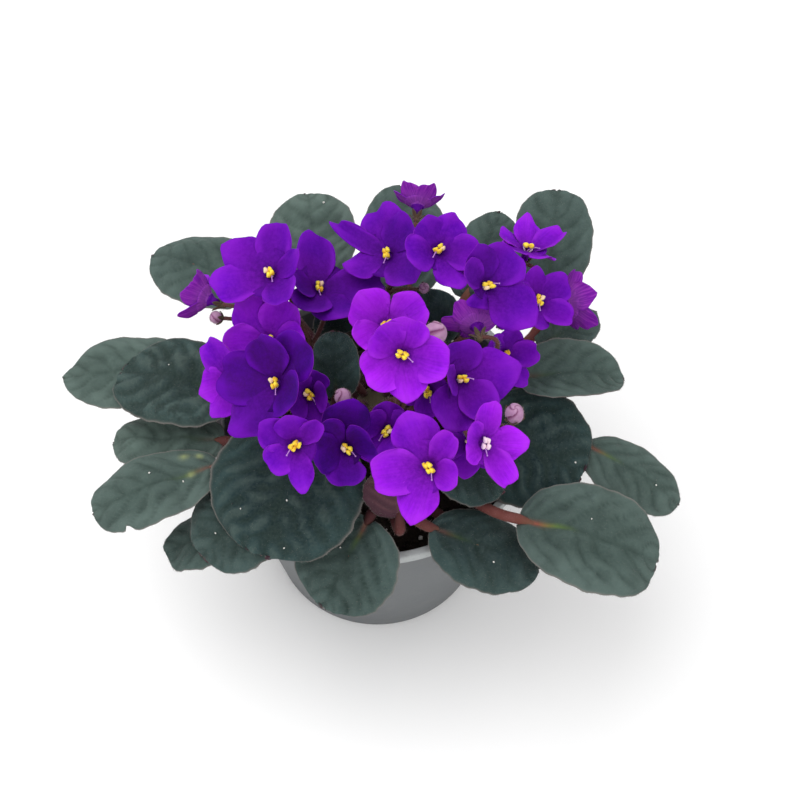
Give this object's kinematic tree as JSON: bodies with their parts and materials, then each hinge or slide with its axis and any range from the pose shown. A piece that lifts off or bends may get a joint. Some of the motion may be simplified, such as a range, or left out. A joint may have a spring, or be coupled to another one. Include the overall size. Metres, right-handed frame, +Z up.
{
  "type": "potted african violet",
  "caption": "African violet in bloom: a rosette of velvety leaves and violet flowers standing in potting soil in a plain grey tapered nursery pot.",
  "frame": {"origin": "centre of the pot's flat underside", "axes": "+Z up along the pot's axis, -Y towards the side that the picture shows, +X to the right of that view"},
  "size_m": [0.2333, 0.1757, 0.1847],
  "materials": {
    "pot_plastic": "moulded grey polypropylene, satin matt",
    "potting_soil": "moist dark peat potting soil with white crumbs",
    "crown": "rough greenish brown stem with leaf scars",
    "leaf": "velvety hairy dark green leaf with sunken veins",
    "flower_stalk": "hairy reddish brown stalk",
    "petal": "velvety violet petal with pale margin"
  },
  "bodies": {
    "root": {"pot": "pot_plastic", "potting_soil": "potting_soil", "crown": "crown", "leaf_01": "leaf", "leaf_02": "leaf", "leaf_03": "leaf", "leaf_04": "leaf", "leaf_05": "leaf", "leaf_06": "leaf", "leaf_07": "leaf", "leaf_08": "leaf", "leaf_09": "leaf", "leaf_10": "leaf", "leaf_11": "leaf", "leaf_12": "leaf", "leaf_13": "leaf", "leaf_14": "leaf", "leaf_15": "leaf", "leaf_16": "leaf", "leaf_17": "leaf", "leaf_18": "leaf", "leaf_19": "leaf", "leaf_20": "leaf", "leaf_21": "leaf", "leaf_22": "leaf", "leaf_23": "leaf", "leaf_24": "leaf", "leaf_25": "leaf", "flower_stalk_1": "flower_stalk", "flower_stalk_2": "flower_stalk", "flower_stalk_3": "flower_stalk", "flower_stalk_4": "flower_stalk", "flower_stalk_5": "flower_stalk", "flower_stalk_6": "flower_stalk", "bloom_01": "petal", "bloom_02": "petal", "bloom_03": "petal", "bloom_04": "petal", "bloom_05": "petal", "bloom_06": "petal", "bloom_07": "petal", "bloom_08": "petal", "bloom_09": "petal", "bloom_10": "petal", "bloom_11": "petal", "bloom_12": "petal", "bloom_13": "petal", "bloom_14": "petal", "bloom_15": "petal", "bloom_16": "petal", "bloom_17": "petal", "bloom_18": "petal", "bloom_19": "petal", "bloom_20": "petal", "bloom_21": "petal", "bloom_22": "petal", "bloom_23": "petal", "bloom_24": "petal", "bloom_25": "petal", "bloom_26": "petal"}
  },
  "joints": []
}
